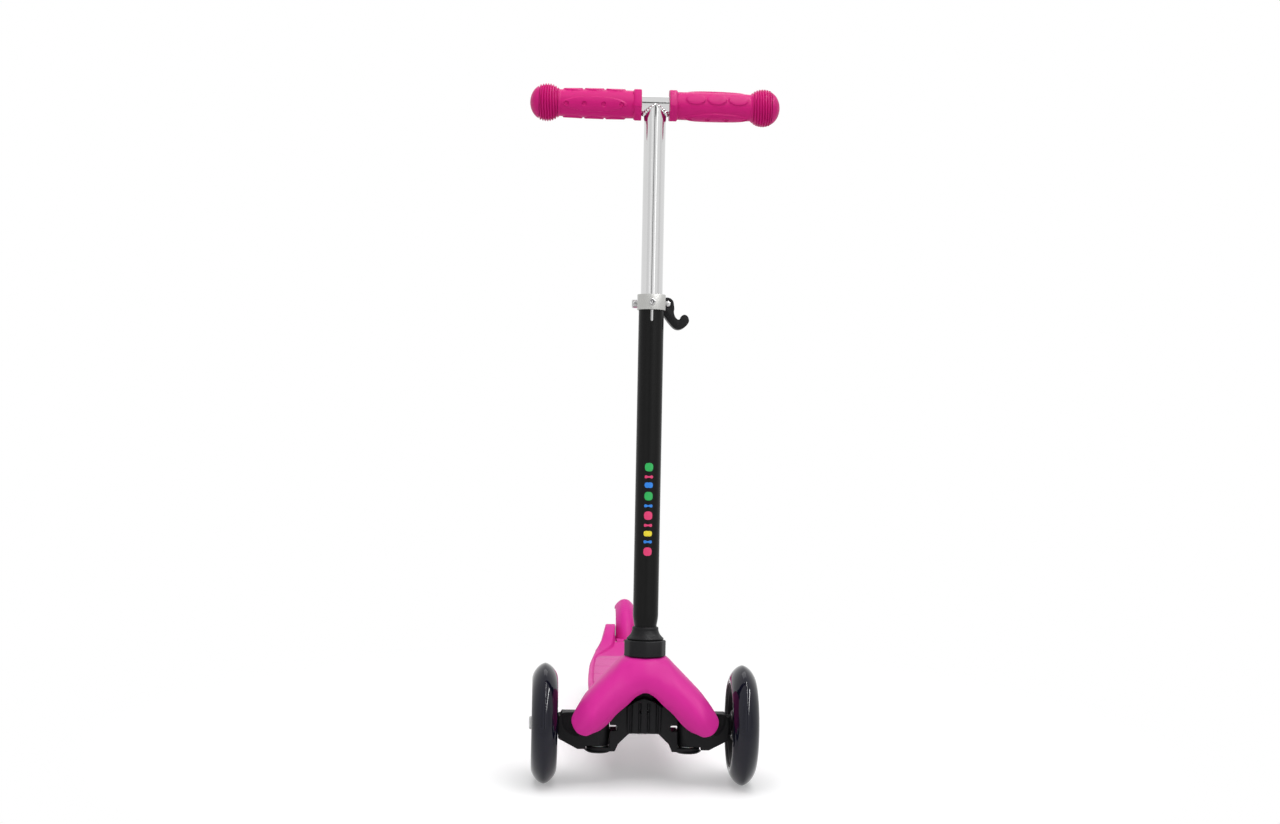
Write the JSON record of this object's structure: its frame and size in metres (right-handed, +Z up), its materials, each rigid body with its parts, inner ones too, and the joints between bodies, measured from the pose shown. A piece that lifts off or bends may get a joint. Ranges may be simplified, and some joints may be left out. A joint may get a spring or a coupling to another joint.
{
  "type": "three-wheel kick scooter",
  "caption": "Lean-to-steer kick scooter with two front wheels, one rear wheel, a moulded board with a sprung foot brake, and a height-adjustable T-bar.",
  "frame": {"origin": "on the ground, at the middle of the overall length and width", "axes": "+Z up, the front faces -Y, +X to the rider's left"},
  "size_m": [0.253, 0.555, 0.7027],
  "materials": {
    "pink_plastic": "magenta moulded plastic, satin gloss",
    "tread": "lighter magenta, matt, fine tread lines",
    "grip_rubber": "magenta soft rubber",
    "black_plastic": "black moulded plastic, low sheen",
    "shoe_rubber": "black hard rubber",
    "black_paint": "black satin paint on steel tube",
    "smoke_tyre": "smoke-grey glossy urethane",
    "zinc_steel": "bright zinc-plated steel",
    "satin_alloy": "satin aluminium",
    "chrome": "bright chrome",
    "nylon_bush": "natural nylon"
  },
  "bodies": {
    "axle": {"axle_carrier": "black_plastic", "lean_pivot_bolt": "zinc_steel", "lean_spring_l": "zinc_steel", "lean_spring_r": "zinc_steel", "kingpin_l": "zinc_steel", "kingpin_r": "zinc_steel", "kingpin_cap_l": "black_plastic", "kingpin_cap_r": "black_plastic"},
    "tie_rod": {"tie_rod": "zinc_steel"},
    "knuckle_l": {"knuckle_l": "black_plastic", "knuckle_bush_lower_l": "nylon_bush", "knuckle_bush_upper_l": "nylon_bush", "front_axle_bolt_l": "zinc_steel"},
    "knuckle_r": {"knuckle_r": "black_plastic", "knuckle_bush_lower_r": "nylon_bush", "knuckle_bush_upper_r": "nylon_bush", "front_axle_bolt_r": "zinc_steel"},
    "front_wheel_l": {"front_l_tyre": "smoke_tyre", "front_l_hub": "black_plastic", "front_l_bearing_outer": "zinc_steel", "front_l_bearing_inner": "zinc_steel"},
    "front_wheel_r": {"front_r_tyre": "smoke_tyre", "front_r_hub": "black_plastic", "front_r_bearing_outer": "zinc_steel", "front_r_bearing_inner": "zinc_steel"},
    "board": {"lean_bush_front": "nylon_bush", "lean_bush_rear": "nylon_bush", "head_core": "black_plastic", "front_cover": "pink_plastic", "deck": "pink_plastic", "tread_mat": "tread", "deck_keel": "zinc_steel", "keel_screw_1": "zinc_steel", "keel_screw_2": "zinc_steel", "rear_axle_bolt": "zinc_steel", "rear_axle_nut": "zinc_steel", "brake_pin": "zinc_steel", "brake_spring": "zinc_steel", "outer_tube": "black_paint", "stem_boot": "black_plastic", "stem_collar": "black_plastic", "clamp_ring": "satin_alloy", "clamp_screw": "zinc_steel", "cam_washer": "zinc_steel", "clamp_bolt": "zinc_steel", "clamp_nut": "zinc_steel", "barrel_pin": "zinc_steel"},
    "rear_wheel": {"rear_tyre": "smoke_tyre", "rear_hub": "black_plastic", "rear_bearing_outer": "zinc_steel", "rear_bearing_inner": "zinc_steel"},
    "brake": {"brake_fender": "pink_plastic", "brake_shoe": "shoe_rubber"},
    "stem_lock": {"stem_lock_button": "black_plastic"},
    "clamp_lever": {"quick_release_lever": "black_plastic"},
    "handlebar": {"inner_tube": "chrome", "crossbar": "chrome", "grip_l": "grip_rubber", "grip_r": "grip_rubber", "inner_tube_plug": "black_plastic"}
  },
  "joints": [
    {"name": "lean", "type": "hinge", "parent": "axle", "child": "board", "pos_m": [0, -0.2175, 0.0745], "axis": [0, 1, 0], "range_deg": [-8, 8], "stiffness_Nm_per_rad": 60, "deforming": ["lean_spring_l", "lean_spring_r"]},
    {"name": "steer_l", "type": "hinge", "parent": "axle", "child": "knuckle_l", "pos_m": [0.045, -0.2175, 0.06], "axis": [0, 0, 1], "range_deg": [-12.5, 12.5]},
    {"name": "steer_r", "type": "hinge", "parent": "axle", "child": "knuckle_r", "pos_m": [-0.045, -0.2175, 0.06], "axis": [0, 0, 1], "range_deg": [-12.5, 12.5]},
    {"name": "tie_rod_slide", "type": "slide", "parent": "axle", "child": "tie_rod", "axis": [1, 0, 0], "range_m": [-0.0037, 0.0037]},
    {"name": "front_wheel_l_spin", "type": "hinge", "parent": "knuckle_l", "child": "front_wheel_l", "pos_m": [0.0995, -0.2175, 0.06], "axis": [1, 0, 0], "continuous": true},
    {"name": "front_wheel_r_spin", "type": "hinge", "parent": "knuckle_r", "child": "front_wheel_r", "pos_m": [-0.0995, -0.2175, 0.06], "axis": [1, 0, 0], "continuous": true},
    {"name": "rear_wheel_spin", "type": "hinge", "parent": "board", "child": "rear_wheel", "pos_m": [0, 0.2275, 0.05], "axis": [1, 0, 0], "continuous": true},
    {"name": "brake_press", "type": "hinge", "parent": "board", "child": "brake", "pos_m": [0, 0.1525, 0.08], "axis": [-1, 0, 0], "range_deg": [0, 4.1], "stiffness_Nm_per_rad": 3, "springref_deg": -1.15},
    {"name": "stem_lock_press", "type": "slide", "parent": "board", "child": "stem_lock", "axis": [0, -0.9976, 0.0698], "range_m": [0, 0.0022], "stiffness_N_per_m": 400, "springref_m": -0.0005},
    {"name": "clamp_lever_turn", "type": "hinge", "parent": "board", "child": "clamp_lever", "pos_m": [0.0172, -0.17379, 0.48276], "axis": [0, -0.9976, 0.0698], "range_deg": [0, 110]},
    {"name": "handlebar_height", "type": "slide", "parent": "board", "child": "handlebar", "axis": [0, 0.0698, 0.9976], "range_m": [-0.118, 0.06]}
  ],
  "couplings": [
    {"joint": "steer_l", "follows": "lean", "ratio": 1.5},
    {"joint": "steer_r", "follows": "lean", "ratio": 1.5},
    {"joint": "tie_rod_slide", "follows": "lean", "m_per_rad": -0.0255}
  ]
}
